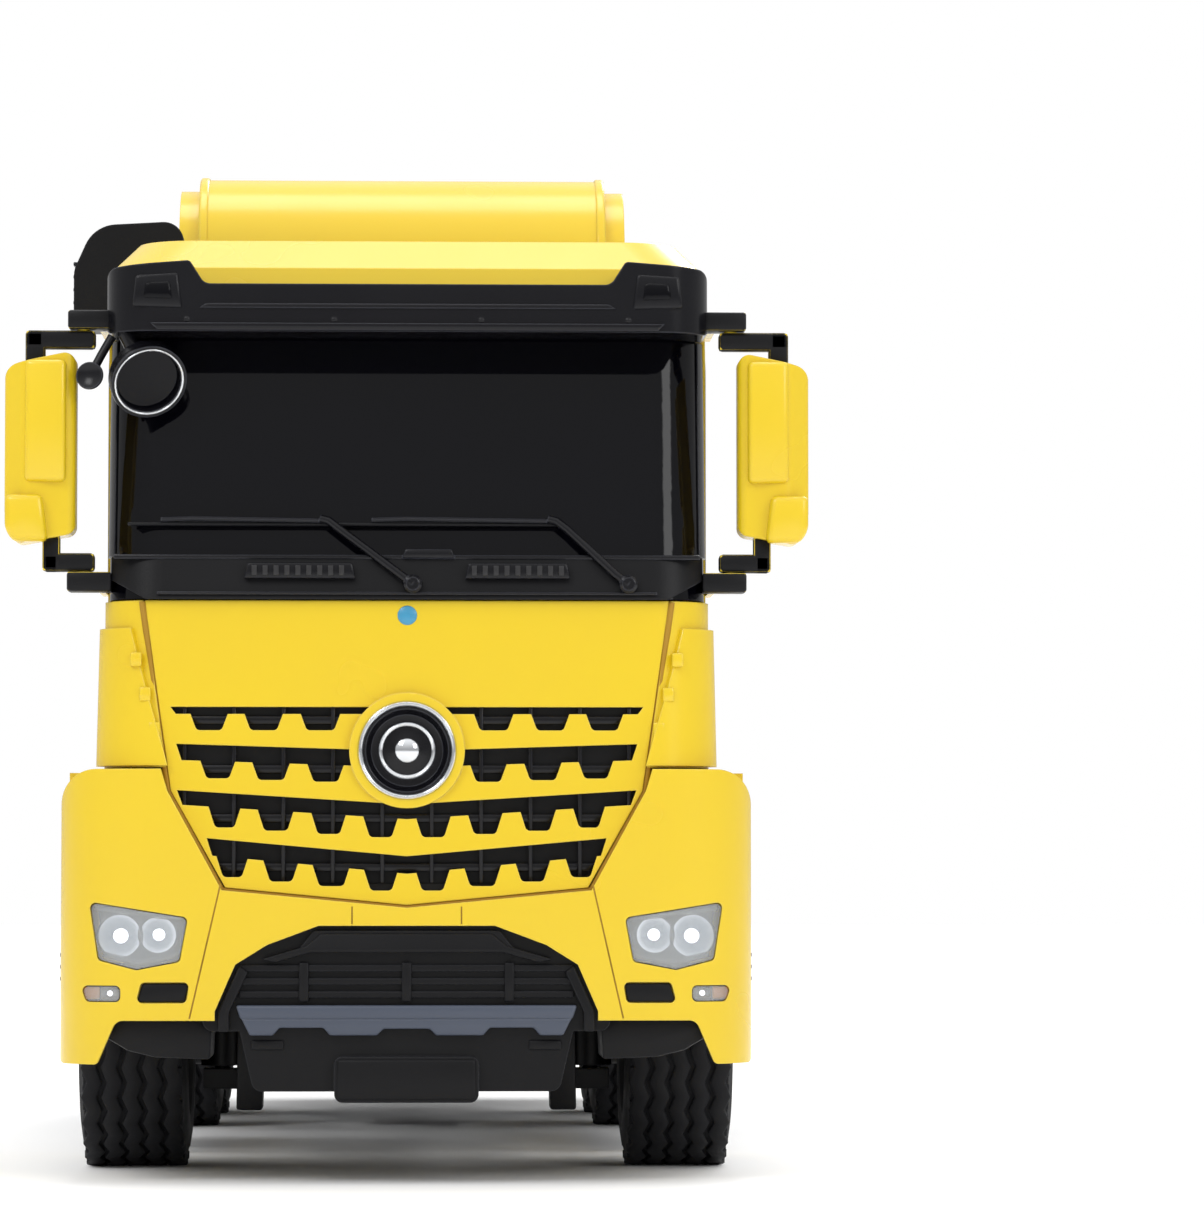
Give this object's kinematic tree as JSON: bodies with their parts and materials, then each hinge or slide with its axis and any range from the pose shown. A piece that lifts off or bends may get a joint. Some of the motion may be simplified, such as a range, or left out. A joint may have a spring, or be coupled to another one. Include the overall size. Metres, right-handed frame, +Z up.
{
  "type": "toy cement mixer truck",
  "caption": "Toy cement mixer truck with a turning drum on its back, a steered front axle, folding mirrors, a filling hopper and a swinging discharge chute.",
  "frame": {"origin": "on the ground under the middle of the truck", "axes": "+X to the truck's left, +Y to its rear, +Z up"},
  "size_m": [0.149, 0.41, 0.216],
  "materials": {
    "yellow_body": "injection moulded ABS, glossy",
    "black_plastic": "injection moulded ABS, satin",
    "black_gloss": "injection moulded ABS, semi-gloss",
    "dark_glazing": "tinted polystyrene, polished",
    "lamp_lens": "clear polystyrene lens",
    "red_lens": "red transparent polystyrene",
    "grey_plastic": "injection moulded ABS, satin",
    "drum_grey": "injection moulded ABS with printed pattern",
    "tyre_rubber": "soft PVC",
    "rim_plastic": "ABS",
    "nylon_gear": "nylon",
    "steel_can": "zinc plated steel",
    "cell_wrap": "PVC sleeve",
    "board_green": "glass-epoxy board"
  },
  "bodies": {
    "chassis": {"air_intake": "black_plastic", "badge": "black_gloss", "battery_door": "black_plastic", "battery_pack": "cell_wrap", "bumper_fascia": "yellow_body", "cab_shell": "yellow_body", "chassis_frame": "black_plastic", "circuit_board": "board_green", "cowl": "black_plastic", "drive_gearbox": "black_plastic", "drive_motor": "steel_can", "drum_gearmotor": "steel_can", "fender_left": "yellow_body", "fender_right": "yellow_body", "front_axle_beam": "black_plastic", "front_bumper": "black_plastic", "front_panel": "yellow_body", "front_pedestal": "yellow_body", "fuel_tank": "black_plastic", "grille_insert": "black_plastic", "headlight_lenses": "lamp_lens", "hopper": "yellow_body", "hopper_flap": "yellow_body", "kerb_mirror": "black_gloss", "ladder": "grey_plastic", "rear_bumper": "black_plastic", "rear_mudguard_left": "black_plastic", "rear_mudguard_right": "black_plastic", "rear_pedestal": "yellow_body", "side_windows": "dark_glazing", "skid_plate": "grey_plastic", "steering_servo": "black_plastic", "sun_visor": "black_gloss", "tail_lamps": "red_lens", "tool_box": "black_plastic", "water_tank": "yellow_body", "windscreen": "dark_glazing", "wipers": "black_plastic"},
    "knuckle_l": {"knuckle_left": "black_plastic"},
    "knuckle_r": {"knuckle_right": "black_plastic"},
    "front_wheel_l": {"front_tyre_left": "tyre_rubber", "front_rim_left": "rim_plastic"},
    "front_wheel_r": {"front_tyre_right": "tyre_rubber", "front_rim_right": "rim_plastic"},
    "steering_rod": {"tie_rod": "black_plastic"},
    "horn": {"servo_horn": "black_plastic"},
    "mid_wheels": {"mid_tyre_left": "tyre_rubber", "mid_tyre_right": "tyre_rubber", "mid_axle": "rim_plastic", "drive_gear": "nylon_gear"},
    "rear_wheels": {"rear_tyre_left": "tyre_rubber", "rear_tyre_right": "tyre_rubber", "rear_axle": "rim_plastic"},
    "pinion": {"motor_pinion": "nylon_gear"},
    "drum": {"drum_shell": "drum_grey", "drum_shaft": "drum_grey"},
    "discharge_chute": {"chute": "grey_plastic"},
    "mirror_l": {"door_mirror_left": "yellow_body"},
    "mirror_r": {"door_mirror_right": "yellow_body"},
    "switch": {"power_switch": "black_plastic"}
  },
  "joints": [
    {"name": "steer_left", "type": "hinge", "parent": "chassis", "child": "knuckle_l", "pos_m": [0.036, -0.13, 0.026], "axis": [0, 0, 1], "range_deg": [-18, 18]},
    {"name": "steer_right", "type": "hinge", "parent": "chassis", "child": "knuckle_r", "pos_m": [-0.036, -0.13, 0.026], "axis": [0, 0, 1], "range_deg": [-18, 18]},
    {"name": "tie_slide", "type": "slide", "parent": "chassis", "child": "steering_rod", "axis": [1, 0, 0], "range_m": [-0.0058, 0.0058]},
    {"name": "horn_turn", "type": "hinge", "parent": "chassis", "child": "horn", "pos_m": [0, -0.121, 0.035], "axis": [0, 0, 1], "range_deg": [-38, 38]},
    {"name": "front_wheel_left", "type": "hinge", "parent": "knuckle_l", "child": "front_wheel_l", "pos_m": [0.052, -0.13, 0.026], "axis": [1, 0, 0], "continuous": true},
    {"name": "front_wheel_right", "type": "hinge", "parent": "knuckle_r", "child": "front_wheel_r", "pos_m": [-0.052, -0.13, 0.026], "axis": [1, 0, 0], "continuous": true},
    {"name": "mid_wheels_spin", "type": "hinge", "parent": "chassis", "child": "mid_wheels", "pos_m": [0, 0.05, 0.026], "axis": [1, 0, 0], "continuous": true},
    {"name": "rear_wheels_spin", "type": "hinge", "parent": "chassis", "child": "rear_wheels", "pos_m": [0, 0.115, 0.026], "axis": [1, 0, 0], "continuous": true},
    {"name": "pinion_spin", "type": "hinge", "parent": "chassis", "child": "pinion", "pos_m": [-0.01, 0.06289, 0.03147], "axis": [1, 0, 0], "continuous": true},
    {"name": "drum_spin", "type": "hinge", "parent": "chassis", "child": "drum", "pos_m": [0, -0.048, 0.118], "axis": [0, 0.9814, 0.1922], "continuous": true},
    {"name": "chute_swing", "type": "hinge", "parent": "chassis", "child": "discharge_chute", "pos_m": [0, 0.189, 0.095], "axis": [0, 0, 1], "range_deg": [0, 180]},
    {"name": "mirror_left_fold", "type": "hinge", "parent": "chassis", "child": "mirror_l", "pos_m": [0.06, -0.194, 0.135], "axis": [0, 0, 1], "range_deg": [0, 60]},
    {"name": "mirror_right_fold", "type": "hinge", "parent": "chassis", "child": "mirror_r", "pos_m": [-0.06, -0.194, 0.135], "axis": [0, 0, 1], "range_deg": [-60, 0]},
    {"name": "switch_slide", "type": "slide", "parent": "chassis", "child": "switch", "axis": [0, 1, 0], "range_m": [-0.002, 0.002]}
  ],
  "couplings": [
    {"joint": "steer_right", "follows": "steer_left", "ratio": 1},
    {"joint": "tie_slide", "follows": "steer_left", "m_per_rad": -0.018},
    {"joint": "horn_turn", "follows": "steer_left", "ratio": 2.1},
    {"joint": "pinion_spin", "follows": "mid_wheels_spin", "ratio": -3}
  ]
}
